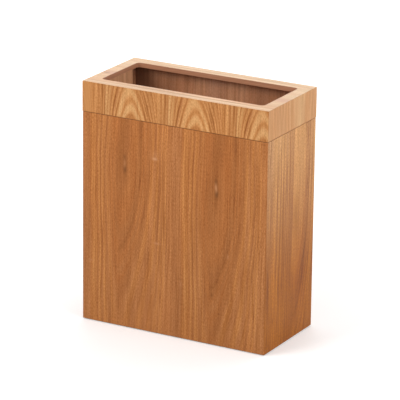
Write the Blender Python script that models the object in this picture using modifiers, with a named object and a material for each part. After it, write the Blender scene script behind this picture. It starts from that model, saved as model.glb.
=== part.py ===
"""Slim wooden wastebasket: a veneered bin and the cover frame that lifts off it.

The frame is right-handed, in metres, +Z up. The origin is on the floor under the middle of the
bin, X runs along the long side, and the front faces -Y.
"""

import bmesh
import bpy
from math import radians, sqrt
from mathutils import Vector

# ---- driving dimensions -------------------------------------------------------------------
WIDTH = 0.2675               # cover frame, along X
DEPTH = 0.130                # cover frame, along Y
BOARD = 0.006                # thickness of every veneered board
PAD_LIFT = 0.001             # the foot pads hold the panels this far off the floor
BIN_HEIGHT = 0.280           # from the panels' lower edge to the seam
LID_HEIGHT = 0.040           # from the seam to the rim
LID_OVERHANG = 0.0004        # the cover stands out over the bin on each side
SEAM_GAP = 0.0005            # the open line between bin and cover
GLUE_GAP = 0.0002            # between two glued faces
FIT_GAP = 0.0003             # round a panel that is held in a groove, or under a rested piece

RIM_END = 0.017              # rim width at the left and the right
RIM_SIDE = 0.0188            # rim width at the front and the back
OPENING_RADIUS = 0.005       # corner radius of the opening, inside its edge band
BAND_THICKNESS = 0.0005

TONGUE_HEIGHT = 0.004        # the bin's inner lip, which stands up inside the cover
TONGUE_THICKNESS = 0.0028
SKIRT_THICKNESS = 0.0032     # the cover's outer lip, which comes down outside the tongue
TONGUE_HEADROOM = 0.0005

GROOVE_DEPTH = 0.003
FLOOR_THICKNESS = 0.005
FLOOR_UNDERSIDE = 0.011      # height of the bottom panel's lower face

FOOT_BLOCK = 0.022           # side of the square glue block in each bottom corner
FOOT_BLOCK_RELIEF = 0.0005   # the block ends this far above the panels' lower edge
PAD_RADIUS = 0.0065

KEEPER_THICKNESS = 0.0098    # locating block, across the cover's end rail
KEEPER_LENGTH = 0.068
KEEPER_REACH = 0.015         # how far it reaches below the seam, into the bin
KEEPER_RELIEF = 0.001        # slack between the block and the bin's wall, for the bag's edge
EASED_EDGE = 0.0008

# ---- worked out from them -----------------------------------------------------------------
BIN_WIDTH = WIDTH - 2 * LID_OVERHANG
BIN_DEPTH = DEPTH - 2 * LID_OVERHANG
SEAM = PAD_LIFT + BIN_HEIGHT                      # lower edge of the cover
RIM = SEAM + LID_HEIGHT                           # top face of the cover
SHOULDER = SEAM - SEAM_GAP                        # what the cover's skirt rests over
TONGUE_TOP = SHOULDER + TONGUE_HEIGHT
OPENING_LENGTH = WIDTH - 2 * RIM_END
OPENING_DEPTH = DEPTH - 2 * RIM_SIDE
BOARD_UNDERSIDE = RIM - BOARD
MITRE_TRIM = GLUE_GAP / sqrt(2)                   # end trim that opens a mitre by one glue gap
CUT_MARGIN = 0.002                                # how far a cutter runs past what it cuts

LEFT, RIGHT, FRONT, BACK = -1, 1, -1, 1


# ---- collections and materials ------------------------------------------------------------
def clear_scene():
    for item in list(bpy.data.objects):
        bpy.data.objects.remove(item, do_unlink=True)


def new_collection(name):
    collection = bpy.data.collections.new(name)
    bpy.context.scene.collection.children.link(collection)
    return collection


def new_material(name, colour, roughness):
    material = bpy.data.materials.new(name)
    material.use_nodes = True
    shader = material.node_tree.nodes["Principled BSDF"]
    shader.inputs["Base Color"].default_value = (*colour, 1.0)
    shader.inputs["Roughness"].default_value = roughness
    shader.inputs["Metallic"].default_value = 0.0
    return material


# ---- shared shapes ------------------------------------------------------------------------
def add_object(name, bm, collection, material=None):
    mesh = bpy.data.meshes.new(name)
    bm.to_mesh(mesh)
    bm.free()
    item = bpy.data.objects.new(name, mesh)
    collection.objects.link(item)
    if material:
        mesh.materials.append(material)
    return item


def box_mesh(size):
    """A box centred on the origin, at its real size."""
    bm = bmesh.new()
    bmesh.ops.create_cube(bm, size=1.0)
    bmesh.ops.scale(bm, vec=Vector(size), verts=bm.verts)
    return bm


def rounded_box_mesh(size, radius):
    """A box whose four upright edges are rounded."""
    bm = box_mesh(size)
    upright = [e for e in bm.edges if abs(e.verts[0].co.z - e.verts[1].co.z) > size[2] / 2]
    bmesh.ops.bevel(bm, geom=upright, offset=radius, segments=8, profile=0.5, affect="EDGES")
    return bm


def ease_edges(item, width):
    bevel = item.modifiers.new("Eased edges", "BEVEL")
    bevel.width = width
    bevel.segments = 2
    bevel.limit_method = "ANGLE"
    bevel.angle_limit = radians(40)


def subtract(item, cutter):
    cut = item.modifiers.new("Cut by " + cutter.name, "BOOLEAN")
    cut.operation = "DIFFERENCE"
    cut.solver = "EXACT"
    cut.object = cutter


def make_cutter(name, bm, centre):
    cutter = add_object(name, bm, cutters)
    cutter.location = centre
    cutter.hide_render = True
    cutter.display_type = "WIRE"
    return cutter


def slab_cutter(name, length, depth, low, high):
    size = (length, depth, high - low)
    return make_cutter(name, box_mesh(size), (0, 0, (low + high) / 2))


def frame_cutter(name, length, depth, low, high):
    """Everything outside a rectangle of length by depth, between two heights."""
    far = WIDTH
    outer = slab_cutter(name, length + far, depth + far, low, high)
    inner = slab_cutter(name + "_core", length, depth, low - CUT_MARGIN, high + CUT_MARGIN)
    subtract(outer, inner)
    return outer


def mitred_board(name, length, low, high, material, folded_top=False):
    """An upright board with its outer face on y = 0 and its inner face at y = BOARD.

    Both ends are cut at 45 degrees. With folded_top the upper edge is cut at 45 degrees too,
    where it meets the edge of a flat board.
    """
    bm = box_mesh((length - 2 * MITRE_TRIM, BOARD, high - low))
    bmesh.ops.translate(bm, vec=(0, BOARD / 2, (high + low) / 2), verts=bm.verts)
    inner = [v for v in bm.verts if v.co.y > BOARD / 2]
    for vert in inner:
        vert.co.x -= BOARD if vert.co.x > 0 else -BOARD
        if folded_top and vert.co.z > (high + low) / 2:
            vert.co.z -= BOARD
    return add_object(name, bm, parts, material)


def place_board(board, offset, quarter_turns, parent):
    """Turn a board about Z in quarter turns, with its outer face offset from the middle."""
    board.rotation_euler.z = radians(90 * quarter_turns)
    outward = board.rotation_euler.to_matrix() @ Vector((0, -1, 0))
    board.location = outward * offset
    board.parent = parent


# ---- the bin ------------------------------------------------------------------------------
def add_bin_panels(parent, material):
    shoulder = frame_cutter("shoulder_cutter",
                            BIN_WIDTH - 2 * (BOARD - TONGUE_THICKNESS),
                            BIN_DEPTH - 2 * (BOARD - TONGUE_THICKNESS),
                            SHOULDER, TONGUE_TOP + CUT_MARGIN)
    groove = slab_cutter("groove_cutter",
                         BIN_WIDTH - 2 * (BOARD - GROOVE_DEPTH),
                         BIN_DEPTH - 2 * (BOARD - GROOVE_DEPTH),
                         FLOOR_UNDERSIDE - FIT_GAP,
                         FLOOR_UNDERSIDE + FLOOR_THICKNESS + FIT_GAP)
    sides = (("front_panel", BIN_WIDTH, BIN_DEPTH, 0), ("right_panel", BIN_DEPTH, BIN_WIDTH, 1),
             ("back_panel", BIN_WIDTH, BIN_DEPTH, 2), ("left_panel", BIN_DEPTH, BIN_WIDTH, 3))
    for name, length, across, turns in sides:
        panel = mitred_board(name, length, PAD_LIFT, TONGUE_TOP, material)
        place_board(panel, across / 2, turns, parent)
        subtract(panel, shoulder)
        subtract(panel, groove)


def add_bottom_panel(parent, material):
    inset = BOARD - GROOVE_DEPTH + FIT_GAP
    size = (BIN_WIDTH - 2 * inset, BIN_DEPTH - 2 * inset, FLOOR_THICKNESS)
    panel = add_object("bottom_panel", box_mesh(size), parts, material)
    panel.location = (0, 0, FLOOR_UNDERSIDE + FLOOR_THICKNESS / 2)
    panel.parent = parent


def add_foot(side_x, side_y, parent, wood, rubber):
    place = ("front" if side_y == FRONT else "back") + ("_left" if side_x == LEFT else "_right")
    low = PAD_LIFT + FOOT_BLOCK_RELIEF
    high = FLOOR_UNDERSIDE - GLUE_GAP
    reach = BOARD + GLUE_GAP + FOOT_BLOCK / 2
    corner = (side_x * (BIN_WIDTH / 2 - reach), side_y * (BIN_DEPTH / 2 - reach))

    block = add_object("foot_block_" + place,
                       box_mesh((FOOT_BLOCK, FOOT_BLOCK, high - low)), parts, wood)
    block.location = (*corner, (low + high) / 2)
    block.parent = parent
    ease_edges(block, EASED_EDGE)

    pad_height = low - GLUE_GAP
    bm = bmesh.new()
    bmesh.ops.create_cone(bm, cap_ends=True, segments=32, radius1=PAD_RADIUS,
                          radius2=PAD_RADIUS, depth=pad_height)
    pad = add_object("foot_pad_" + place, bm, parts, rubber)
    pad.location = (*corner, pad_height / 2)
    pad.parent = parent
    pad.data.shade_smooth()
    pad.data.set_sharp_from_angle(angle=radians(40))


# ---- the cover frame ----------------------------------------------------------------------
def add_lid_rails(parent, material):
    rebate = slab_cutter("rebate_cutter",
                         WIDTH - 2 * SKIRT_THICKNESS, DEPTH - 2 * SKIRT_THICKNESS,
                         SEAM - CUT_MARGIN, TONGUE_TOP + TONGUE_HEADROOM)
    sides = (("lid_front_rail", WIDTH, DEPTH, 0), ("lid_right_rail", DEPTH, WIDTH, 1),
             ("lid_back_rail", WIDTH, DEPTH, 2), ("lid_left_rail", DEPTH, WIDTH, 3))
    for name, length, across, turns in sides:
        rail = mitred_board(name, length, SEAM, RIM - MITRE_TRIM, material, folded_top=True)
        place_board(rail, across / 2, turns, parent)
        rail.location.z = -parent.location.z
        subtract(rail, rebate)


def add_top_board(parent, material):
    bm = box_mesh((WIDTH - 2 * MITRE_TRIM, DEPTH - 2 * MITRE_TRIM, BOARD))
    for vert in bm.verts:
        if vert.co.z < 0:
            vert.co.x -= BOARD if vert.co.x > 0 else -BOARD
            vert.co.y -= BOARD if vert.co.y > 0 else -BOARD
    board = add_object("top_board", bm, parts, material)
    board.location = (0, 0, RIM - BOARD / 2 - parent.location.z)
    board.parent = parent

    room = BAND_THICKNESS + GLUE_GAP
    hole = rounded_box_mesh((OPENING_LENGTH + 2 * room, OPENING_DEPTH + 2 * room, 3 * BOARD),
                            OPENING_RADIUS + room)
    subtract(board, make_cutter("opening_cutter", hole, (0, 0, RIM - BOARD / 2)))


def add_edge_band(parent, material):
    outer = rounded_box_mesh((OPENING_LENGTH + 2 * BAND_THICKNESS,
                              OPENING_DEPTH + 2 * BAND_THICKNESS, BOARD),
                             OPENING_RADIUS + BAND_THICKNESS)
    band = add_object("opening_edge_band", outer, parts, material)
    band.location = (0, 0, RIM - BOARD / 2 - parent.location.z)
    band.parent = parent
    inner = rounded_box_mesh((OPENING_LENGTH, OPENING_DEPTH, 3 * BOARD), OPENING_RADIUS)
    subtract(band, make_cutter("band_cutter", inner, (0, 0, RIM - BOARD / 2)))


def add_locating_blocks(parent, material):
    wall = LID_OVERHANG + BOARD + KEEPER_RELIEF
    relief = frame_cutter("relief_cutter", WIDTH - 2 * wall, DEPTH - 2 * wall,
                          SEAM - KEEPER_REACH - CUT_MARGIN, TONGUE_TOP + TONGUE_HEADROOM)
    low = SEAM - KEEPER_REACH
    high = BOARD_UNDERSIDE - GLUE_GAP
    for name, side in (("left_locating_block", LEFT), ("right_locating_block", RIGHT)):
        size = (KEEPER_THICKNESS, KEEPER_LENGTH, high - low)
        block = add_object(name, box_mesh(size), parts, material)
        inner_face_of_rail = WIDTH / 2 - BOARD - GLUE_GAP
        block.location = (side * (inner_face_of_rail - KEEPER_THICKNESS / 2), 0,
                          (low + high) / 2 - parent.location.z)
        block.parent = parent
        subtract(block, relief)
        ease_edges(block, EASED_EDGE)


# ---- assembly -----------------------------------------------------------------------------
def add_frame(name, height):
    frame = bpy.data.objects.new(name, None)
    frame.location = (0, 0, height)
    parts.objects.link(frame)
    return frame


clear_scene()
parts = new_collection("wastebasket")
cutters = new_collection("cutters")

bin_veneer = new_material("bin_veneer", (0.42, 0.17, 0.058), 0.42)
lid_veneer = new_material("lid_veneer", (0.55, 0.26, 0.10), 0.42)
rim_veneer = new_material("rim_veneer", (0.80, 0.58, 0.40), 0.42)
edge_banding = new_material("edge_banding", (0.33, 0.14, 0.075), 0.45)
plywood = new_material("plywood", (0.55, 0.36, 0.20), 0.60)
block_wood = new_material("block_wood", (0.36, 0.17, 0.085), 0.60)
pad_rubber = new_material("pad_rubber", (0.05, 0.045, 0.04), 0.80)

bin_frame = add_frame("bin_frame", 0.0)
add_bin_panels(bin_frame, bin_veneer)
add_bottom_panel(bin_frame, plywood)
for side_x in (LEFT, RIGHT):
    for side_y in (FRONT, BACK):
        add_foot(side_x, side_y, bin_frame, block_wood, pad_rubber)

# The cover slides up along this empty's Z axis when it is lifted off.
lid_frame = add_frame("lid_frame", SEAM)
add_lid_rails(lid_frame, lid_veneer)
add_top_board(lid_frame, rim_veneer)
add_edge_band(lid_frame, edge_banding)
add_locating_blocks(lid_frame, block_wood)
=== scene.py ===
"""Looks of the slim wooden wastebasket: veneered boards, cover frame, blocks and pads.

Every piece is built in the frame's own coordinates, in metres: +Z up, front towards -Y.
"""

from dataclasses import dataclass, replace
from math import cos, radians, sin

import bmesh
import bpy
from mathutils import Matrix, Vector


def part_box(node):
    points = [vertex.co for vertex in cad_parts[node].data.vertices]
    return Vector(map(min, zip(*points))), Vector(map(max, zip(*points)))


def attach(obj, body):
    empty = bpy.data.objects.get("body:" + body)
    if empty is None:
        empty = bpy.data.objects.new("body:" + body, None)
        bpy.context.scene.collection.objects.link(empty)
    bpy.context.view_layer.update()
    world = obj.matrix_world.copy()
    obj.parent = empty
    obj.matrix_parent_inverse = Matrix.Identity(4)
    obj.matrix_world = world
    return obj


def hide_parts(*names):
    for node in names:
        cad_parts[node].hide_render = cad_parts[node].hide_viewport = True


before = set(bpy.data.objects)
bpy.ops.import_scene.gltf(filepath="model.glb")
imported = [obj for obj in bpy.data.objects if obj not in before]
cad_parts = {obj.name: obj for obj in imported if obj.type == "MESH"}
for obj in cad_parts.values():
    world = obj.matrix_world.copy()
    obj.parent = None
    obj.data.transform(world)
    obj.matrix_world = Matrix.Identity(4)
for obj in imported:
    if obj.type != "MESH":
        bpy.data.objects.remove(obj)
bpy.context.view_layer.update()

# ---- sizes from the frame, in metres ------------------------------------------------------
BIN_LOW, BIN_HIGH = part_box("front_panel")[0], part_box("back_panel")[1]
LID_LOW, LID_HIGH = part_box("lid_front_rail")[0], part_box("lid_back_rail")[1]
BAND_LOW, BAND_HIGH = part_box("opening_edge_band")

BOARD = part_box("front_panel")[1].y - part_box("front_panel")[0].y
BIN_HALF_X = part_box("right_panel")[1].x
BIN_HALF_Y = BIN_HIGH.y
LID_HALF_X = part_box("lid_right_rail")[1].x
LID_HALF_Y = LID_HIGH.y
BASE = BIN_LOW.z                     # lower edge of the bin's panels
TONGUE_TOP = BIN_HIGH.z
SEAM = LID_LOW.z                     # lower edge of the cover's rails
RIM = BAND_HIGH.z                    # top face of the cover
FLOOR_PANEL_LOW, FLOOR_PANEL_HIGH = (corner.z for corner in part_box("bottom_panel"))

# ---- joinery ------------------------------------------------------------------------------
SEAM_GAP = 0.0005                    # between the bin's shoulder and the cover's rails
TONGUE = 0.0028                      # thickness of the bin's inner lip
TONGUE_HEADROOM = 0.0005
SKIRT = 0.0032                       # thickness of the cover's outer lip
REBATE_TOP = TONGUE_TOP + TONGUE_HEADROOM
GROOVE_DEPTH = 0.003                 # the bottom panel's groove
GROOVE_SLACK = 0.0003
GLUE_LINE = 0.00004                  # half the width of an open glue line
CORNER_ROUND = 0.0006                # upright corners and the cover's top edge
SANDED = 0.0004                      # the other eased edges
BAND_THICKNESS = 0.0005
BAND_RADIUS = 0.005                  # inner corners of the opening

ARC_SEGMENTS = 3                     # on an eased edge
CORNER_SEGMENTS = 6                  # on an upright corner
OPENING_SEGMENTS = 16                # on a corner of the opening
SMOOTH_ANGLE = 40                    # degrees; sharper edges stay sharp

LOOKS_OUT = 0.5                      # cosines: a face that shows the outer veneer
LOOKS_IN = -0.9                      # and one that shows the inner veneer

OUTER, INNER, CORE = range(3)        # places in a board's list of materials


# ---- arithmetic on material nodes ----------------------------------------------------------
NOISE_GAIN = 3.0                     # spreads a noise node's output to about -1 to 1


class Wire:
    """A number or a colour on its way through a material's nodes."""

    def __init__(self, tree, socket):
        self.tree = tree
        self.socket = socket

    def __add__(self, other):
        return calc("ADD", self, other)

    def __sub__(self, other):
        return calc("SUBTRACT", self, other)

    def __rsub__(self, other):
        return calc("SUBTRACT", other, self)

    def __mul__(self, other):
        return calc("MULTIPLY", self, other)

    def __truediv__(self, other):
        return calc("DIVIDE", self, other)

    __radd__ = __add__
    __rmul__ = __mul__


def plug(tree, value, slot):
    """Feeds a wire, a colour or a number into a node's input."""
    if isinstance(value, Wire):
        tree.links.new(value.socket, slot)
    elif isinstance(value, tuple):
        slot.default_value = (*value, 1.0)
    else:
        slot.default_value = value


def calc(operation, *values):
    """One step of arithmetic, as a Math node."""
    tree = next(value.tree for value in values if isinstance(value, Wire))
    node = tree.nodes.new("ShaderNodeMath")
    node.operation = operation
    for slot, value in zip(node.inputs, values):
        plug(tree, value, slot)
    return Wire(tree, node.outputs[0])


def step(value, low, high):
    """0 below low, 1 above high, with a smooth rise between."""
    node = value.tree.nodes.new("ShaderNodeMapRange")
    node.interpolation_type = "SMOOTHSTEP"
    for slot, number in zip(node.inputs, (value, low, high, 0.0, 1.0)):
        plug(value.tree, number, slot)
    return Wire(value.tree, node.outputs[0])


def mix(first, second, share, mode="MIX"):
    """first where share is 0, and second where it is 1."""
    tree = share.tree
    node = tree.nodes.new("ShaderNodeMix")
    node.data_type = "RGBA"
    node.blend_type = mode
    node.clamp_factor = True
    colour_a, colour_b = [s for s in node.inputs if s.type == "RGBA"]
    plug(tree, share, node.inputs[0])
    plug(tree, first, colour_a)
    plug(tree, second, colour_b)
    return Wire(tree, next(s for s in node.outputs if s.type == "RGBA"))


def noise(u, v, across, along, seed, detail=2.0, roughness=0.5):
    """Smooth noise, about -1 to 1. across and along are its waves per metre in u and v.

    Every pattern has a seed of its own, so no two line up.
    """
    tree = u.tree
    place = tree.nodes.new("ShaderNodeCombineXYZ")
    plug(tree, u * across, place.inputs[0])
    plug(tree, v * along, place.inputs[1])
    plug(tree, float(seed), place.inputs[2])
    node = tree.nodes.new("ShaderNodeTexNoise")
    node.inputs["Scale"].default_value = 1.0
    node.inputs["Detail"].default_value = detail
    node.inputs["Roughness"].default_value = roughness
    tree.links.new(place.outputs[0], node.inputs["Vector"])
    return (Wire(tree, node.outputs[0]) - 0.5) * NOISE_GAIN


# ---- how wood looks ------------------------------------------------------------------------
MM = 1000.0                          # millimetres in a metre
RAMP_STOPS = 31                      # one fewer than a colour ramp can hold
SIDE_BLEND = 0.003                   # the two sides of a leaf merge over this half width
SLOW_WANDER = 2.0                    # the slow waves of a line are this much wider
SETTLE_ROUND = 0.6                   # share of settle over which the lines straighten
FRAY = 0.0004                        # unevenness of a ring's edge
KNOT_SPREAD = 3.0                    # a knot bends the rings out to this many times its size

FIBRES_PER_LINE = 2.4
BREAKS = 0.8                         # how strongly the dashes break the fine lines
HAIRLINE = 0.22                      # half width of a hairline, in units of its noise
PORE_FROM = 0.45                     # noise at which a pore begins to open
PORE_TO = 0.95                       # and at which it is fully open
PORE_STRENGTH = 0.40

DARKER = (0.66, 0.55, 0.40)          # a darker line keeps its warmth
LIGHTER = (1.26, 1.36, 1.50)
WARM_PATCH = (1.02, 0.94, 0.88)
COOL_PATCH = (0.98, 1.01, 1.12)
PATCH_STRENGTH = 0.6
PORE_TINT = (0.50, 0.38, 0.28)

VENEER_ROUGHNESS = 0.42
VENEER_RELIEF = 0.00004              # depth of the pores and fibres, in metres
GLOSS = 0.15


@dataclass
class Figure:
    """How one leaf of veneer shows the tree's growth rings. Lengths in metres, stops in mm.

    A ring line is an arch: its tip is on the leaf's middle line, and its legs run along the grain.
    The zero ring is the one whose tip is at apex; rings count outwards from it, in millimetres.
    """
    near: tuple                      # (ring, tone) stops on the side where the leaf starts
    far: tuple                       # the same on the other side
    centre: float                    # middle of the arches, from the leaf's edge
    apex: float                      # tip of the zero ring, along the grain
    depth: float                     # how round the tips are
    taper: float                     # ring width gained per length of grain
    lean: float                      # sideways drift of the middle line per length of grain
    line: float                      # strength of the fine lines
    mottle: float                    # strength of the soft patches
    seed: float
    leaf: float = 0.1337             # width of a leaf
    start: float = -0.1337           # where the first leaf begins, across the grain
    opens: float = 1.0               # 1: arches open upwards along the grain, -1: downwards
    straight: float = 0.0750         # this far behind the zero ring's tip, rings run parallel
    settle: float = 0.5000           # this far ahead of it, the lines are straight again
    near_reach: float = 0.0800       # this far from the middle, the lines run straight
    far_reach: float = 0.0800
    squeeze: float = 1.0             # how much closer the rings lie on the near side
    slip: float = 0.0120             # the figure moves along the grain from leaf to leaf
    stray: float = 0.0               # sideways shift of every second leaf's arches
    wander: float = 0.0012           # waviness of the ring lines
    blend: float = 0.45              # how far the ring tones fade away in patches
    pitch: float = 260.0             # fine lines per metre
    fibre: float = 1.0               # strength of the straight streaks
    dash: float = 0.3                # strength of the short dark and light dashes
    calm: float = 0.010              # about half the width of the middle without fine lines
    painted_light_tint: tuple = (1.0, 1.0, 1.0)          # painted light: a change of colour along the grain
    top_from: float = 0.0            # it sets in here
    top_to: float = 0.3              # and is complete here


def leaf_places(u, v, fig):
    """Place across a leaf from the middle of its arches, and height above the zero ring's tip."""
    along_leaves = (u - fig.start) / fig.leaf
    leaf_number = calc("FLOOR", along_leaves)
    place = (along_leaves - leaf_number) * fig.leaf
    height = (v - fig.apex + leaf_number * fig.slip) * fig.opens
    across = place - fig.centre - calc("PINGPONG", leaf_number, 1.0) * fig.stray
    across = across - height * fig.lean * bend_share(across, fig)
    across = across + noise(u, v, 9.0, 7.0, fig.seed + 3.1) * fig.wander * SLOW_WANDER
    return across, height


def far_share(across):
    """0 on the near side of a leaf's middle line and 1 on the far side."""
    return step(across, -SIDE_BLEND, SIDE_BLEND)


def bend_share(across, fig):
    """1 in the middle of the arches, 0 out where the lines run straight."""
    reach = fig.near_reach + far_share(across) * (fig.far_reach - fig.near_reach)
    return calc("EXPONENT", calc("POWER", across / reach, 4.0) * -1.0)


def ring_distance(u, v, across, height, fig):
    """Distance outwards from the zero ring, in metres."""
    spread = across * (fig.squeeze + far_share(across) * (1.0 - fig.squeeze))
    climb = calc("SMOOTH_MIN", height, fig.straight, fig.straight)
    climb = calc("SMOOTH_MAX", climb, -fig.settle, SETTLE_ROUND * fig.settle) * fig.taper
    fade = bend_share(across, fig)
    bow = calc("SQRT", calc("POWER", spread, 2.0) + fig.depth ** 2) - fig.depth
    sway = noise(u, v, 60.0, 13.0, fig.seed, 4.0, 0.6) * fig.wander
    fray = noise(u, v, 900.0, 40.0, fig.seed + 7.7) * FRAY
    return bow - climb * fade + sway + fray


def tones_by_ring(rings, stops, palette):
    """Colour ramp over the ring distance, with stops in millimetres."""
    low, high = stops[0][0], stops[-1][0]
    node = rings.tree.nodes.new("ShaderNodeValToRGB")
    elements = node.color_ramp.elements
    elements.remove(elements[1])
    for index, (ring, tone) in enumerate(stops):
        position = (ring - low) / (high - low)
        element = elements.new(position) if index else elements[0]
        element.position = position
        element.color = (*palette[tone], 1.0)
    plug(rings.tree, (rings * MM - low) / (high - low), node.inputs[0])
    return Wire(rings.tree, node.outputs[0])


def tint(colour, amount, factors):
    """Multiplies colour by factors where amount is 1, and leaves it alone where amount is 0."""
    return mix(colour, factors, amount, "MULTIPLY")


def shade_wood(colour, amount):
    """Darkens colour where amount is below 0 and lightens it where it's above."""
    colour = tint(colour, calc("MAXIMUM", amount * -1.0, 0.0), DARKER)
    return tint(colour, calc("MAXIMUM", amount, 0.0), LIGHTER)


def ring_colour(rings, across, fig, palette):
    """Tone of each ring, from one table on the near side and another on the far side."""
    near = tones_by_ring(rings, fig.near, palette)
    far = tones_by_ring(rings, fig.far, palette)
    return mix(near, far, far_share(across))


def drift_colour(colour, u, v, fig):
    """Warmer and cooler patches, and painted light: a change of colour along the grain."""
    hue = noise(u, v, 40.0, 6.0, fig.seed + 47.0)
    colour = tint(colour, step(hue, -0.2, 1.0) * PATCH_STRENGTH, WARM_PATCH)
    colour = tint(colour, step(hue, 0.2, -1.0) * PATCH_STRENGTH, COOL_PATCH)
    return tint(colour, step(v, fig.top_from, fig.top_to), fig.painted_light_tint)


def veneer_nodes(u, v, fig, palette, marks):
    """Colour, roughness and relief of a veneered face."""
    across, height = leaf_places(u, v, fig)
    drift = u + noise(u, v, 4.0, 32.0, fig.seed + 71.0) * fig.wander
    rings = ring_distance(u, v, across, height, fig)
    for mark in marks:
        rings = rings - spot(drift, v, mark, KNOT_SPREAD) * mark.bulge
    colour = ring_colour(rings, across, fig, palette)

    # Where the rings show, the fine lines and hairlines that follow them, and soft patches.
    presence = noise(rings, v, 260.0, 14.0, fig.seed + 51.0)
    lines = noise(rings, v, fig.pitch, 4.0, fig.seed + 5.0, 3.0, 0.7)
    crossing = noise(rings, v, fig.pitch, 5.0, fig.seed + 61.0, 2.0, 0.6)
    hairline = 1.0 - step(calc("ABSOLUTE", crossing), 0.0, HAIRLINE)
    patch = noise(u, v, 60.0, 9.0, fig.seed + 41.0, 4.0, 0.7)
    # Dashes, fibres and pores run straight along the grain, whatever the rings do.
    dashes = noise(u, v, 1000.0, 330.0, fig.seed + 81.0, 2.0, 0.6)
    fibres = noise(u, v, FIBRES_PER_LINE * fig.pitch, 8.0, fig.seed + 21.0, 3.0, 0.75)
    pore = step(noise(u, v, 2600.0, 150.0, fig.seed + 31.0, 1.0), PORE_FROM, PORE_TO)

    colour = mix(colour, palette["mean"], step(presence, -0.9, 0.9) * fig.blend)
    busy = step(calc("ABSOLUTE", across), 0.5 * fig.calm, 2.5 * fig.calm) * fig.line
    broken = lines * (dashes * BREAKS + 1.0)
    colour = shade_wood(colour, broken * busy + patch * fig.mottle)
    colour = shade_wood(colour, hairline * step(presence, 0.6, -0.6) * busy * -1.0)
    colour = drift_colour(colour, u, v, fig)
    colour = shade_wood(colour, fibres * fig.fibre + dashes * fig.dash)
    colour = tint(colour, pore * (PORE_STRENGTH - lines * 0.3), PORE_TINT)
    for mark in marks:
        colour = mix(colour, palette[mark.tone], spot(drift, v, mark) * mark.strength)

    rough = VENEER_ROUGHNESS + pore * 0.14 + fibres * 0.03
    relief = pore * -1.0 + fibres * 0.15 + lines * 0.10
    return colour, rough, relief


@dataclass
class Mark:
    """A soft oval of another tone: part of a knot, a streak, a fleck, a stain or a painted shade.
    """
    across: float                    # its middle, across the grain
    along: float                     # and along it
    half_width: float
    half_length: float
    tone: str
    strength: float
    bulge: float = 0.0               # how far it pushes the ring lines aside


def spot(u, v, mark, spread=1.0):
    """1 in the middle of the mark, falling to 0 round it."""
    wide = calc("POWER", (u - mark.across) / (mark.half_width * spread), 2.0)
    high = calc("POWER", (v - mark.along) / (mark.half_length * spread), 2.0)
    return calc("EXPONENT", (wide + high) * -1.0)


def pin_knot(x, z, length, strength, eye):
    """A pale eye between two dark points, with a dark tail under it."""
    return (Mark(x, z, 0.0036, 1.5 * length, "brown", 0.6 * strength),
            Mark(x + 0.0024, z, 0.0012, 1.1 * length, "dark", 0.7 * strength),
            Mark(x + 0.0002, z + 1.05 * length, 0.0018, 0.5 * length, "char", 0.65 * strength),
            Mark(x + 0.0006, z - 1.00 * length, 0.0023, 0.65 * length, "char", strength),
            Mark(x, z - 2.4 * length, 0.0020, 1.4 * length, "dark", 0.6 * strength),
            Mark(x, z, 0.0017, 0.70 * length, "pale", eye, 0.0008))


def new_material(name):
    """A node material, its tree and its shader."""
    material = bpy.data.materials.new(name)
    material.use_nodes = True
    return material, material.node_tree, material.node_tree.nodes["Principled BSDF"]


def object_axes(tree):
    """x, y and z in the frame, as wires."""
    place = tree.nodes.new("ShaderNodeTexCoord")
    split = tree.nodes.new("ShaderNodeSeparateXYZ")
    tree.links.new(place.outputs["Object"], split.inputs[0])
    return [Wire(tree, output) for output in split.outputs]


def finish_surface(tree, shader, colour, rough, relief, depth):
    """Joins colour, roughness and relief to the shader. depth is the relief's size in metres."""
    plug(tree, colour, shader.inputs["Base Color"])
    plug(tree, rough, shader.inputs["Roughness"])
    bump = tree.nodes.new("ShaderNodeBump")
    bump.inputs["Strength"].default_value = 1.0
    bump.inputs["Distance"].default_value = depth
    plug(tree, relief, bump.inputs["Height"])
    tree.links.new(bump.outputs[0], shader.inputs["Normal"])
    shader.inputs["Specular IOR Level"].default_value = GLOSS


def veneer(name, grain, fig, palette, marks=()):
    """A veneer's material. grain picks the axis across the grain and the axis along it."""
    material, tree, shader = new_material(name)
    u, v = grain(*object_axes(tree))
    colour, rough, relief = veneer_nodes(u, v, fig, palette, marks)
    finish_surface(tree, shader, colour, rough, relief, VENEER_RELIEF)
    return material


# Each of these gives the axis across the grain, left to right from outside, and the one along it.
def grain_front(x, y, z):
    return x, z


def grain_back(x, y, z):
    return x * -1.0, z


def grain_right(x, y, z):
    return y, z


def grain_left(x, y, z):
    return y * -1.0, z


def grain_rim(x, y, z):
    return y, x


def scaled(palette, red, green, blue):
    """The same tones in another light or stain."""
    return {tone: (red * r, green * g, blue * b) for tone, (r, g, b) in palette.items()}


# ---- the wastebasket's woods ---------------------------------------------------------------
BIN_WOOD = {
    "char": (0.130, 0.042, 0.008),
    "dark": (0.263, 0.087, 0.019),
    "brown": (0.328, 0.115, 0.031),
    "red": (0.377, 0.130, 0.033),
    "rose": (0.404, 0.158, 0.052),
    "mean": (0.400, 0.150, 0.042),
    "tan": (0.406, 0.156, 0.048),
    "gold": (0.441, 0.169, 0.045),
    "bright": (0.490, 0.196, 0.054),
    "shade": (0.306, 0.124, 0.049),
    "pale": (0.500, 0.221, 0.092),
    "fleck": (0.640, 0.330, 0.160),
}
LID_WOOD = {
    "dark": (0.412, 0.152, 0.039),
    "brown": (0.478, 0.193, 0.054),
    "mauve": (0.502, 0.211, 0.071),
    "mean": (0.544, 0.241, 0.079),
    "mid": (0.568, 0.258, 0.087),
    "pale": (0.633, 0.333, 0.128),
}
RIM_WOOD = {
    "dark": (0.356, 0.185, 0.092),
    "brown": (0.554, 0.287, 0.151),
    "pink": (0.693, 0.398, 0.251),
    "mean": (0.752, 0.463, 0.260),
    "peach": (0.752, 0.454, 0.251),
    "cream": (0.812, 0.556, 0.335),
}
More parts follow.
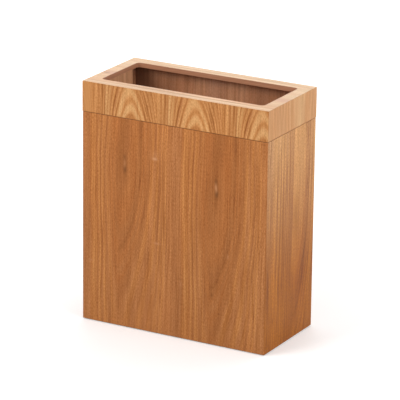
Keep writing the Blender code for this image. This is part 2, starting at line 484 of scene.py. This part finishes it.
INNER_WOOD = {
    "char": (0.122, 0.064, 0.042),
    "dark": (0.371, 0.164, 0.080),
    "brown": (0.470, 0.217, 0.110),
    "red": (0.507, 0.229, 0.114),
    "rose": (0.528, 0.254, 0.140),
    "mean": (0.545, 0.258, 0.134),
    "tan": (0.569, 0.276, 0.145),
    "gold": (0.618, 0.305, 0.158),
    "bright": (0.668, 0.340, 0.180),
}
# Copies of the front woods for the side faces, refitted to the light on each side: partly the
# veneers' own tone, partly painted light. The cover's sides are paler and bluer, a painted sheen.
SIDE_WOOD = scaled(BIN_WOOD, 0.905, 0.755, 0.220)
LID_SIDE_WOOD = scaled(LID_WOOD, 0.99, 1.065, 1.21)

# The front and back veneer is a little lighter towards the top: painted light, falling off from
# above.
BIN_FIGURE = Figure(
    near=((-10, "dark"), (-7, "brown"), (-2, "red"), (0.5, "brown"), (3, "red"), (6, "red"),
          (8.4, "brown"), (10, "red"), (13, "tan"), (17.5, "gold"), (21, "tan"),
          (25, "brown"), (27, "tan"), (30, "gold"), (34, "bright"), (37, "tan"),
          (39.5, "brown"), (42, "gold"), (46, "bright"), (50, "tan"), (52.5, "red"),
          (55, "gold"), (60, "bright"), (63.5, "gold"), (67, "bright"), (71, "gold"),
          (75, "red"), (78, "tan"), (84, "rose"), (88, "tan"), (97, "rose")),
    far=((-10, "dark"), (-7.5, "brown"), (-5, "red"), (-1, "red"), (1.5, "brown"),
         (3.2, "brown"), (4, "dark"), (4.8, "brown"), (6.8, "red"), (8.6, "tan"),
         (10.5, "red"), (12.5, "brown"), (14.2, "brown"), (16, "tan"), (19, "gold"),
         (20.5, "gold"), (22.2, "tan"), (24.5, "rose"), (26.2, "tan"), (28.5, "gold"),
         (30, "bright"), (32, "tan"), (34, "rose"), (36, "gold"), (38, "rose"),
         (40.5, "bright"), (42, "rose"), (43.5, "bright"), (45.5, "rose"), (47, "tan"),
         (60, "rose")),
    centre=0.0545, apex=0.134, depth=0.030, taper=0.150, straight=0.060, settle=0.110,
    near_reach=0.022, far_reach=0.060, squeeze=2.4, lean=0.035, slip=0.030, wander=0.0014,
    line=0.7, fibre=1.1, dash=1.1, mottle=0.5, painted_light_tint=(1.12, 1.09, 1.04), seed=2.0)
# The side veneer grows paler and whiter from just above the base upwards: painted sheen and light
# on the side faces.
SIDE_FIGURE = Figure(
    near=((-20, "bright"), (-15, "gold"), (-11, "red"), (-8, "brown"), (5, "brown"),
          (8.5, "red"), (10.8, "dark"), (12.5, "red"), (15.5, "gold"), (18.3, "brown"),
          (20, "tan"), (22.3, "brown"), (25, "gold"), (29, "gold"), (31.9, "brown"),
          (34, "gold"), (38, "bright"), (41, "gold"), (43.3, "brown"), (46, "bright"),
          (52, "gold"), (55, "tan"), (58, "bright"), (69, "gold"), (78, "tan"), (90, "tan")),
    far=((-20, "gold"), (-15, "gold"), (-11.5, "red"), (-7, "brown"), (-4.2, "brown"),
         (-2.6, "dark"), (-1.2, "brown"), (0.4, "red"), (3, "tan"), (5, "brown"),
         (6.5, "gold"), (9, "tan"), (10.5, "brown"), (12, "gold"), (16, "bright"),
         (20, "tan"), (26, "tan")),
    leaf=0.160, start=-0.065, centre=0.076, apex=0.018, depth=0.018, taper=0.220,
    straight=0.110, near_reach=0.012, far_reach=0.060, squeeze=1.5, lean=0.020, line=1.05,
    pitch=200.0, fibre=1.1, dash=1.3, mottle=0.4, painted_light_tint=(1.50, 2.33, 10.40), top_from=0.068,
    seed=14.0)
LID_FIGURE = Figure(
    near=((-9, "dark"), (-4.6, "dark"), (-3.9, "mid"), (-3.2, "pale"), (-1.2, "pale"),
          (-0.5, "mid"), (0.2, "brown"), (1.2, "brown"), (2, "mid"), (3.2, "pale"),
          (5.6, "pale"), (7.2, "mid"), (8.7, "dark"), (10.2, "mid"), (12.6, "mauve"),
          (14.4, "dark"), (15.8, "brown"), (17, "mid"), (18.9, "dark"), (20.6, "mid"),
          (22, "pale"), (23.8, "brown"), (26, "pale"), (28.2, "dark"), (30, "mid"),
          (32.4, "dark"), (34.6, "mid"), (36.8, "dark"), (40, "mid"),
          (45, "brown")),
    far=((-9, "dark"), (-4.6, "dark"), (-4.1, "brown"), (-3.3, "mid"), (-2.4, "pale"),
         (-0.8, "pale"), (0.1, "mid"), (0.8, "brown"), (1.8, "brown"), (2.5, "mid"),
         (3.3, "pale"), (4.8, "pale"), (5.6, "mid"), (6.6, "brown"), (7.6, "dark"),
         (8.6, "brown"), (9.8, "mid"), (11.7, "dark"), (13.4, "mid"), (15, "dark"),
         (16.4, "mid"), (18.6, "dark"), (20.4, "mid"), (21.4, "mid"), (23.4, "dark"),
         (24.8, "mid"), (26.4, "dark"), (28, "mid"), (31, "brown")),
    leaf=0.0941, start=-0.1192, centre=0.0575, apex=0.303, opens=-1.0, depth=0.012,
    taper=0.290, straight=0.200, near_reach=0.031, far_reach=0.037, lean=0.0, slip=0.0015,
    stray=-0.0023, wander=0.0011, blend=0.30, line=1.0, pitch=330.0, fibre=0.9, dash=0.9,
    calm=0.011, mottle=0.3, seed=9.0)
LID_SIDE_FIGURE = Figure(
    near=((0, "pale"), (10, "mid"), (12, "brown"), (14, "pale"), (19, "mid"), (60, "mid")),
    far=((0, "mid"), (5, "pale"), (20, "pale"), (24, "mid"), (60, "mid")),
    leaf=0.160, start=-0.065, centre=0.075, apex=0.300, depth=0.001, taper=0.05,
    lean=0.0, line=0.5, mottle=0.5, seed=17.0)
RIM_FIGURE = Figure(
    near=((0, "cream"), (7, "peach"), (10, "pink"), (18, "pink"), (21, "peach"),
          (26, "cream"), (49, "peach"), (52, "peach"), (53.5, "brown"), (55, "peach"),
          (58, "cream"), (66, "peach")),
    far=((0, "cream"), (12, "cream"), (16, "peach"), (28, "cream"), (50, "cream"),
         (54, "peach"), (58, "cream"), (66, "cream")),
    leaf=0.30, start=-0.15, centre=0.15, apex=0.0, depth=0.0005, taper=0.0, lean=0.008,
    slip=0.0, wander=0.0010, line=0.4, mottle=0.35, seed=25.0)

FRONT_MARKS = (
    Mark(0.0680, 0.1400, 0.0360, 0.3000, "char", 0.07),
    Mark(0.0030, 0.0300, 0.0140, 0.0600, "char", 0.06),
    Mark(-0.0350, 0.0250, 0.0300, 0.0450, "tan", 0.35),
    *pin_knot(-0.0715, 0.2210, 0.0080, 0.75, 0.35),
    *pin_knot(0.0615, 0.2100, 0.0080, 0.95, 0.85),
    Mark(0.0575, 0.0670, 0.0020, 0.0035, "char", 0.5),
    Mark(-0.0270, 0.2340, 0.0036, 0.0016, "fleck", 0.75),
    Mark(-0.0265, 0.2380, 0.0060, 0.0060, "pale", 0.3),
    Mark(-0.0235, 0.1220, 0.0050, 0.0012, "pale", 0.6),
    Mark(-0.1215, 0.0830, 0.0035, 0.0012, "pale", 0.5),
    Mark(0.0125, 0.0740, 0.0020, 0.0030, "pale", 0.35),
    Mark(0.0795, 0.1225, 0.0015, 0.0030, "pale", 0.5),
)
SIDE_MARKS = (
    Mark(0.0150, 0.1630, 0.0060, 0.0330, "shade", 0.55),
    Mark(-0.0430, 0.0400, 0.0012, 0.0026, "char", 0.6),
    Mark(0.0570, 0.0800, 0.0010, 0.0026, "char", 0.5),
)
RIM_MARKS = (
    Mark(-0.0530, -0.0420, 0.0009, 0.0250, "dark", 0.70),
    Mark(-0.0560, 0.0150, 0.0009, 0.0260, "dark", 0.65),
    Mark(-0.0585, -0.0250, 0.0009, 0.0350, "brown", 0.70),
    Mark(-0.0535, 0.0760, 0.0011, 0.0120, "dark", 0.55),
    Mark(-0.0140, -0.1240, 0.0090, 0.0110, "pink", 0.80),
    Mark(-0.0165, -0.1270, 0.0018, 0.0050, "dark", 0.60),
    Mark(-0.0140, 0.1250, 0.0090, 0.0110, "pink", 0.70),
)
# Painted shade: a dark band down the inner long walls near the left end, where the left block and
# wall shade the back-left corner.
PAINTED_CORNER_SHADE = (Mark(-0.1230, 0.1500, 0.0300, 1.0, "char", 0.72),)
# A thin darker band along the cover rails' lower edge, just above the seam.
SEAM_DARK_BAND = Mark(0.0, SEAM, 2.0, 0.0012, "dark", 0.5)
LID_MARKS = (Mark(-0.1270, 0.3010, 0.0095, 1.0, "mean", 0.8), SEAM_DARK_BAND)


def make_veneers():
    """The outer veneer of each board by its node's name, and the two inner veneers."""
    back = replace(BIN_FIGURE, centre=0.060, apex=0.110, seed=4.0)
    left = replace(SIDE_FIGURE, near=SIDE_FIGURE.far, far=SIDE_FIGURE.near, centre=0.058,
                   apex=0.060, seed=15.0)
    lid_back = replace(LID_FIGURE, start=-0.1232, apex=0.304, seed=10.0)
    lid_left = replace(LID_SIDE_FIGURE, centre=0.055, seed=18.0)
    # The inner walls' upper strip, just under the opening's lip, turns cooler and paler: painted
    # light in the lip's shade.
    inner = {"line": 0.4, "fibre": 0.5, "dash": 0.6,
             "painted_light_tint": (1.04, 1.14, 1.25), "top_from": 0.298, "top_to": 0.309}
    inside = replace(BIN_FIGURE, centre=0.050, apex=0.180, seed=31.0, **inner)
    inside_end = replace(SIDE_FIGURE, seed=33.0, **inner)
    return {
        "front_panel": veneer("bin_veneer_front", grain_front, BIN_FIGURE, BIN_WOOD, FRONT_MARKS),
        "back_panel": veneer("bin_veneer_back", grain_back, back, BIN_WOOD),
        "right_panel": veneer("bin_veneer_right", grain_right, SIDE_FIGURE, SIDE_WOOD,
                               SIDE_MARKS),
        "left_panel": veneer("bin_veneer_left", grain_left, left, SIDE_WOOD),
        "lid_front_rail": veneer("lid_veneer_front", grain_front, LID_FIGURE, LID_WOOD,
                                 LID_MARKS),
        "lid_back_rail": veneer("lid_veneer_back", grain_back, lid_back, LID_WOOD,
                                (SEAM_DARK_BAND,)),
        "lid_right_rail": veneer("lid_veneer_right", grain_right, LID_SIDE_FIGURE,
                                 LID_SIDE_WOOD, (SEAM_DARK_BAND,)),
        "lid_left_rail": veneer("lid_veneer_left", grain_left, lid_left, LID_SIDE_WOOD,
                                (SEAM_DARK_BAND,)),
        "top_board": veneer("rim_veneer", grain_rim, RIM_FIGURE, RIM_WOOD, RIM_MARKS),
        "inside_x": veneer("inner_veneer_long", grain_front, inside, INNER_WOOD, PAINTED_CORNER_SHADE),
        "inside_y": veneer("inner_veneer_short", grain_right, inside_end, INNER_WOOD),
    }


def core_material():
    """Stained edge of the boards' core: dense, fine and nearly even."""
    material, tree, shader = new_material("board_core")
    x, y, z = object_axes(tree)
    speck = noise(x + y, z, 2500.0, 2500.0, 51.0)
    colour = mix((0.20, 0.085, 0.035), (0.30, 0.14, 0.065), step(speck, -1.0, 1.0))
    finish_surface(tree, shader, colour, rough=speck * 0.04 + 0.62, relief=speck, depth=0.00004)
    return material


def band_material():
    """Edge band round the opening: smooth and reddish brown, grain running round."""
    material, tree, shader = new_material("edge_band")
    x, y, z = object_axes(tree)
    streak = noise(z, x + y, 900.0, 14.0, 61.0)
    colour = mix((0.44, 0.200, 0.108), (0.56, 0.272, 0.157), step(streak, -1.0, 1.0))
    finish_surface(tree, shader, colour, rough=streak * 0.03 + 0.42, relief=streak, depth=0.00001)
    return material


def stripes(spacing, first=0):
    """Ring stops of plain wood: a darker line at every third one. In millimetres."""
    return tuple((first + spacing * i, "line" if i % 3 == 2 else "light")
                 for i in range(RAMP_STOPS))


def block_material(name, grain, seed):
    """Sanded solid wood with straight grain."""
    palette = {"light": (0.64, 0.34, 0.18), "mean": (0.61, 0.32, 0.17), "line": (0.56, 0.28, 0.145)}
    stops = stripes(4)
    fig = Figure(near=stops, far=stops, leaf=0.5, start=-0.25, centre=0.24, apex=0.0,
                 depth=0.004, taper=0.01, lean=0.02, line=0.3, mottle=0.3, seed=seed)
    return veneer(name, grain, fig, palette)


def plywood_material():
    """Thin plain plywood, grain along its length."""
    palette = {"light": (0.60, 0.40, 0.23), "mean": (0.57, 0.37, 0.21), "line": (0.47, 0.28, 0.15)}
    stops = stripes(3, -9)
    fig = Figure(near=stops, far=stops, leaf=0.20, start=-0.10, centre=0.12, apex=0.0,
                 depth=0.02, taper=0.06, lean=0.02, line=0.3, mottle=0.3, seed=71.0)
    return veneer("plywood", grain_rim, fig, palette)


def rubber_material():
    """Matt dark rubber with a fine moulded grain."""
    material, tree, shader = new_material("pad_rubber")
    x, y, _ = object_axes(tree)
    grit = noise(x, y, 3000.0, 3000.0, 81.0)
    colour = mix((0.030, 0.027, 0.024), (0.055, 0.050, 0.045), step(grit, -1.0, 1.0))
    finish_surface(tree, shader, colour, rough=grit * 0.05 + 0.80, relief=grit, depth=0.00005)
    return material


# ---- mesh tools ----------------------------------------------------------------------------
def arc(centre, radius, start, end):
    """Points on a circle in (depth, height), by angle in degrees."""
    points = []
    for i in range(ARC_SEGMENTS + 1):
        angle = radians(start + (end - start) * i / ARC_SEGMENTS)
        points.append((centre[0] + radius * cos(angle), centre[1] + radius * sin(angle)))
    return points


def sweep_mitred(profile, half_length):
    """A board with the given cross-section, cut off at 45 degrees at both ends.

    The profile's points are (depth behind the outer face, height), anticlockwise seen from -X
    with depth to the right. The board runs along X with its outer face on y = 0.
    """
    bm = bmesh.new()
    ends = []
    for side in (-1, 1):
        ring = []
        for depth, height in profile:
            ring.append(bm.verts.new((side * (half_length - depth - GLUE_LINE), depth, height)))
        ends.append(ring)
    count = len(profile)
    for i in range(count):
        j = (i + 1) % count
        bm.faces.new((ends[0][i], ends[1][i], ends[1][j], ends[0][j]))
    bm.faces.new(list(reversed(ends[0])))
    bm.faces.new(ends[1])
    bmesh.ops.recalc_face_normals(bm, faces=bm.faces)
    return bm


def rounded_block(half_x, half_y, low, high, radius, segments, upright_only=False):
    """A box with rounded upright edges, and rounded top edges unless upright_only."""
    middle = (low + high) / 2
    bm = bmesh.new()
    bmesh.ops.create_cube(bm, size=1.0)
    bmesh.ops.scale(bm, vec=(2 * half_x, 2 * half_y, high - low), verts=bm.verts)
    bmesh.ops.translate(bm, vec=(0, 0, middle), verts=bm.verts)
    chosen = []
    for edge in bm.edges:
        heights = [v.co.z for v in edge.verts]
        upright = abs(heights[0] - heights[1]) > (high - low) / 2
        on_top = min(heights) > middle
        if upright or (on_top and not upright_only):
            chosen.append(edge)
    bmesh.ops.bevel(bm, geom=chosen, offset=radius, segments=segments, profile=0.5,
                    affect="EDGES")
    return bm


def add_object(name, bm):
    """A new object in the scene from a bmesh, which is used up."""
    mesh = bpy.data.meshes.new(name)
    bm.to_mesh(mesh)
    bm.free()
    item = bpy.data.objects.new(name, mesh)
    bpy.context.scene.collection.objects.link(item)
    return item


def carve(item, cutter, operation):
    """Boolean of item with cutter, applied at once. The cutter stays."""
    modifier = item.modifiers.new("Carve", "BOOLEAN")
    modifier.operation = operation
    modifier.solver = "EXACT"
    modifier.object = cutter
    apply_modifiers(item)


def apply_modifiers(item):
    """Replaces the item's mesh by what its modifiers make of it."""
    bpy.context.view_layer.update()
    graph = bpy.context.evaluated_depsgraph_get()
    mesh = bpy.data.meshes.new_from_object(item.evaluated_get(graph))
    old = item.data
    item.modifiers.clear()
    item.data = mesh
    bpy.data.meshes.remove(old)
    mesh.name = item.name


def drop(item):
    bpy.data.objects.remove(item, do_unlink=True)


def keep_flat(item):
    """Weighs the normals by face size, so that a flat face stays flat beside a round."""
    modifier = item.modifiers.new("Flat faces stay flat", "WEIGHTED_NORMAL")
    modifier.keep_sharp = True


def smooth_piece(item):
    """Smooth shading on the rounds, with the flat faces kept flat."""
    item.data.shade_smooth()
    item.data.set_sharp_from_angle(angle=radians(SMOOTH_ANGLE))
    keep_flat(item)
    apply_modifiers(item)


def move_to_side(bm, quarter_turns, offset):
    """Moves a board built on y = 0 to its side of the box."""
    bmesh.ops.translate(bm, vec=(0, -offset, 0), verts=bm.verts)
    turn = Matrix.Rotation(radians(90 * quarter_turns), 4, "Z")
    bmesh.ops.transform(bm, matrix=turn, verts=bm.verts)


def paint(item, materials, rule):
    """Gives each face the material whose place in the list the rule returns."""
    for material in materials:
        item.data.materials.append(material)
    for face in item.data.polygons:
        face.material_index = rule(face)


def board_rule(outward, inner_limit):
    """Outer veneer, inner veneer or core, by which way a face looks and where it lies."""
    def rule(face):
        facing = face.normal.dot(outward)
        if facing > LOOKS_OUT and face.center.dot(outward) > inner_limit:
            return OUTER
        if facing < LOOKS_IN:
            return INNER
        return CORE
    return rule


def install(item, node, body):
    """The piece stands for a CAD node, and moves with its body."""
    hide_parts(node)
    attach(item, body)


# ---- boards --------------------------------------------------------------------------------
def bin_profile():
    """Cross-section of a bin panel, from its lower outer edge round and back."""
    shoulder = SEAM - SEAM_GAP
    tongue = BOARD - TONGUE
    groove_low = FLOOR_PANEL_LOW - GROOVE_SLACK
    groove_high = FLOOR_PANEL_HIGH + GROOVE_SLACK
    ease = SANDED / 2
    return (arc((SANDED, BASE + SANDED), SANDED, 270, 180)
            + arc((SANDED, shoulder - SANDED), SANDED, 180, 90)
            + [(tongue, shoulder)]
            + arc((tongue + ease, TONGUE_TOP - ease), ease, 180, 90)
            + arc((BOARD - ease, TONGUE_TOP - ease), ease, 90, 0)
            + [(BOARD, groove_high), (BOARD - GROOVE_DEPTH, groove_high),
               (BOARD - GROOVE_DEPTH, groove_low), (BOARD, groove_low), (BOARD, BASE)])


def rail_profile():
    """Cross-section of a cover rail, folded at 45 degrees to the top board."""
    ease = SANDED / 2
    fold = GLUE_LINE
    return (arc((SANDED, SEAM + SANDED), SANDED, 270, 180)
            + [(0.0, RIM - fold), (BOARD, RIM - BOARD - fold), (BOARD, REBATE_TOP),
               (SKIRT, REBATE_TOP)]
            + arc((SKIRT - ease, SEAM + ease), ease, 0, -90))


SIDES = {"front": 0, "right": 1, "back": 2, "left": 3}        # in quarter turns about Z
UP = Vector((0, 0, 1))
OUTWARD = {"front": Vector((0, -1, 0)), "right": Vector((1, 0, 0)),
           "back": Vector((0, 1, 0)), "left": Vector((-1, 0, 0))}


def side_sizes(side, half_x, half_y):
    """(half length along the side, distance of its outer face from the middle)"""
    return (half_x, half_y) if side in ("front", "back") else (half_y, half_x)


def add_boards(name_form, body, profile, half_x, half_y, envelope, veneers, core):
    """Four mitred boards, cut back to the envelope's rounded corners."""
    for side, turns in SIDES.items():
        node = name_form.format(side)
        half_length, offset = side_sizes(side, half_x, half_y)
        bm = sweep_mitred(profile, half_length)
        move_to_side(bm, turns, offset)
        board = add_object(node + "_piece", bm)
        carve(board, envelope, "INTERSECT")
        inside = veneers["inside_x" if side in ("front", "back") else "inside_y"]
        paint(board, (veneers[node], inside, core),
              board_rule(OUTWARD[side], offset - SANDED))
        smooth_piece(board)
        install(board, node, body)


def add_bin(veneers, core):
    """The bin's four panels."""
    envelope = add_object("bin_envelope", rounded_block(
        BIN_HALF_X, BIN_HALF_Y, BASE - BOARD, TONGUE_TOP + BOARD, CORNER_ROUND,
        CORNER_SEGMENTS, upright_only=True))
    add_boards("{}_panel", "bin", bin_profile(), BIN_HALF_X, BIN_HALF_Y, envelope, veneers, core)
    drop(envelope)


def add_lid(veneers, core, band):
    """The cover frame: four rails, the top board and the opening's edge band."""
    envelope = add_object("lid_envelope", rounded_block(
        LID_HALF_X, LID_HALF_Y, SEAM - BOARD, RIM, CORNER_ROUND, CORNER_SEGMENTS))
    add_boards("lid_{}_rail", "lid", rail_profile(), LID_HALF_X, LID_HALF_Y, envelope,
               veneers, core)
    add_top_board(veneers, core, envelope)
    drop(envelope)
    add_edge_band(band)


def add_top_board(veneers, core, envelope):
    """A board folded at 45 degrees to the rails, with the opening cut out of it."""
    bm = bmesh.new()
    bmesh.ops.create_cube(bm, size=1.0)
    for vert in bm.verts:
        inset = GLUE_LINE + (BOARD if vert.co.z < 0 else 0.0)
        vert.co.x = (LID_HALF_X - inset) * (1 if vert.co.x > 0 else -1)
        vert.co.y = (LID_HALF_Y - inset) * (1 if vert.co.y > 0 else -1)
        vert.co.z = RIM - (BOARD if vert.co.z < 0 else 0.0)
    board = add_object("top_board_piece", bm)
    carve(board, envelope, "INTERSECT")
    hole = add_object("hole", rounded_block(
        BAND_HIGH.x + GLUE_LINE, BAND_HIGH.y + GLUE_LINE, RIM - 3 * BOARD, RIM + BOARD,
        BAND_RADIUS + BAND_THICKNESS + GLUE_LINE, OPENING_SEGMENTS, upright_only=True))
    carve(board, hole, "DIFFERENCE")
    drop(hole)
    paint(board, (veneers["top_board"], veneers["inside_x"], core),
          board_rule(UP, RIM - BOARD))
    smooth_piece(board)
    install(board, "top_board", "lid")


def add_edge_band(material):
    """A thin band round the opening, flush with the top face."""
    band = add_object("opening_edge_band_piece", rounded_block(
        BAND_HIGH.x, BAND_HIGH.y, BAND_LOW.z, RIM,
        BAND_RADIUS + BAND_THICKNESS, OPENING_SEGMENTS, upright_only=True))
    inner = add_object("band_hole", rounded_block(
        BAND_HIGH.x - BAND_THICKNESS, BAND_HIGH.y - BAND_THICKNESS,
        BAND_LOW.z - BOARD, RIM + BOARD, BAND_RADIUS, OPENING_SEGMENTS, upright_only=True))
    carve(band, inner, "DIFFERENCE")
    drop(inner)
    paint(band, (material,), lambda face: 0)
    smooth_piece(band)
    install(band, "opening_edge_band", "lid")


# ---- carried-over nodes --------------------------------------------------------------------
def dress(node, material):
    """A CAD node keeps its shape and gets a better material."""
    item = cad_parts[node]
    item.data.materials.clear()
    item.data.materials.append(material)
    keep_flat(item)


def dress_frame_nodes():
    """The bottom panel, the blocks and the pads."""
    dress("bottom_panel", plywood_material())
    upright = block_material("locating_block_wood", grain_right, 91.0)
    for side in ("left", "right"):
        dress(side + "_locating_block", upright)
    block = block_material("foot_block_wood", grain_rim, 95.0)
    rubber = rubber_material()
    for place in ("front_left", "front_right", "back_left", "back_right"):
        dress("foot_block_" + place, block)
        dress("foot_pad_" + place, rubber)


# ---- stage ---------------------------------------------------------------------------------
FLOOR_RADIUS = 18.0                  # metres
FLOOR_COLOUR = (0.95, 0.95, 0.95, 1.0)
FLOOR_LIFT_NEAR = 0.20               # brightness lent to the floor beside the object
FLOOR_LIFT_FAR = 0.48                # and further out
FLOOR_LIFT_START = 0.3               # metres from the middle
FLOOR_LIFT_END = 3.0
SKY_STRENGTH = 0.55
BACKDROP = 1.0                       # how bright the camera sees the sky
WHITE = (1.0, 1.0, 1.0, 1.0)


def seen_by_camera(tree):
    """1 where the camera looks straight at the surface, 0 for the light it throws back."""
    path = tree.nodes.new("ShaderNodeLightPath")
    return Wire(tree, path.outputs["Is Camera Ray"])


def add_floor():
    """A pale floor that runs out into the white backdrop without a horizon."""
    bm = bmesh.new()
    bmesh.ops.create_circle(bm, cap_ends=True, segments=96, radius=FLOOR_RADIUS)
    floor = add_object("studio_floor", bm)
    material, tree, shader = new_material("studio_floor")
    x, y, _ = object_axes(tree)
    far_out = step(calc("SQRT", x * x + y * y), FLOOR_LIFT_START, FLOOR_LIFT_END)
    lift = far_out * (FLOOR_LIFT_FAR - FLOOR_LIFT_NEAR) + FLOOR_LIFT_NEAR
    shader.inputs["Base Color"].default_value = FLOOR_COLOUR
    shader.inputs["Roughness"].default_value = 0.9
    shader.inputs["Emission Color"].default_value = WHITE
    plug(tree, seen_by_camera(tree) * lift, shader.inputs["Emission Strength"])
    floor.data.materials.append(material)


@dataclass
class Softbox:
    """A rectangular light aimed at the middle of the object, unseen by the camera."""
    azimuth: float                   # degrees; 0 is in front, 90 at the object's right
    elevation: float                 # degrees
    distance: float                  # metres
    width: float                     # metres
    height: float
    power: float                     # watts


SOFTBOXES = {
    "key": Softbox(-36, 36, 3.0, 1.6, 1.6, 41.0),
    "fill": Softbox(80, 25, 3.0, 1.8, 1.4, 26.0),
    "overhead": Softbox(190, 60, 3.0, 1.8, 1.8, 12.0),
    "rim_glow": Softbox(210, 20, 2.0, 1.4, 0.8, 5.0),
    "side_glow": Softbox(150, 8, 0.9, 0.7, 0.20, 1.5),
}


def add_softbox(name, box):
    """An area light that looks at the middle of the object."""
    turn, lift = radians(box.azimuth), radians(box.elevation)
    outward = Vector((sin(turn) * cos(lift), -cos(turn) * cos(lift), sin(lift)))
    light = bpy.data.lights.new(name, "AREA")
    light.shape = "RECTANGLE"
    light.size, light.size_y = box.width, box.height
    light.energy = box.power
    item = bpy.data.objects.new(name, light)
    item.location = Vector((0, 0, RIM / 2)) + outward * box.distance
    item.rotation_euler = (-outward).to_track_quat("-Z", "Y").to_euler()
    item.visible_camera = False
    bpy.context.scene.collection.objects.link(item)


def add_lights():
    """The backdrop and the softboxes, with plain display colours."""
    world = bpy.data.worlds.new("studio")
    world.use_nodes = True
    tree = world.node_tree
    sky = tree.nodes["Background"]
    sky.inputs["Color"].default_value = WHITE
    strength = seen_by_camera(tree) * (BACKDROP - SKY_STRENGTH) + SKY_STRENGTH
    plug(tree, strength, sky.inputs["Strength"])
    bpy.context.scene.world = world
    for name, box in SOFTBOXES.items():
        add_softbox(name, box)
    bpy.context.scene.view_settings.view_transform = "Standard"


# ---- camera --------------------------------------------------------------------------------
YAW = 29.029                         # degrees
PITCH = 18.068
ROLL = 0.685
DISTANCE = 3.874                     # metres
SHIFT_RIGHT = 0.0043                 # metres from the base's middle to the line of sight
SHIFT_UP = 0.1571
LENS = 268.8                         # mm
SENSOR = 36.0
CLIP_END = 60.0                      # metres; the floor's far edge is inside it


def add_camera():
    """A long lens, from the front right and a little above."""
    yaw, pitch, roll = radians(YAW), radians(PITCH), radians(ROLL)
    back = Vector((sin(yaw) * cos(pitch), -cos(yaw) * cos(pitch), sin(pitch)))
    right = Vector((cos(yaw), sin(yaw), 0))
    up = back.cross(right)
    tilted_right = right * cos(roll) + up * sin(roll)
    tilted_up = up * cos(roll) - right * sin(roll)
    place = (Vector((0, 0, BASE)) + back * DISTANCE
             + tilted_right * SHIFT_RIGHT + tilted_up * SHIFT_UP)
    camera = bpy.data.cameras.new("camera")
    camera.sensor_width = SENSOR
    camera.lens = LENS
    camera.clip_end = CLIP_END
    item = bpy.data.objects.new("camera", camera)
    axes = Matrix((tilted_right, tilted_up, back)).transposed()
    item.matrix_world = Matrix.Translation(place) @ axes.to_4x4()
    bpy.context.scene.collection.objects.link(item)
    bpy.context.scene.camera = item


# ---- assembly ------------------------------------------------------------------------------
veneers = make_veneers()
core = core_material()
add_bin(veneers, core)
add_lid(veneers, core, band_material())
dress_frame_nodes()
add_floor()
add_lights()
add_camera()
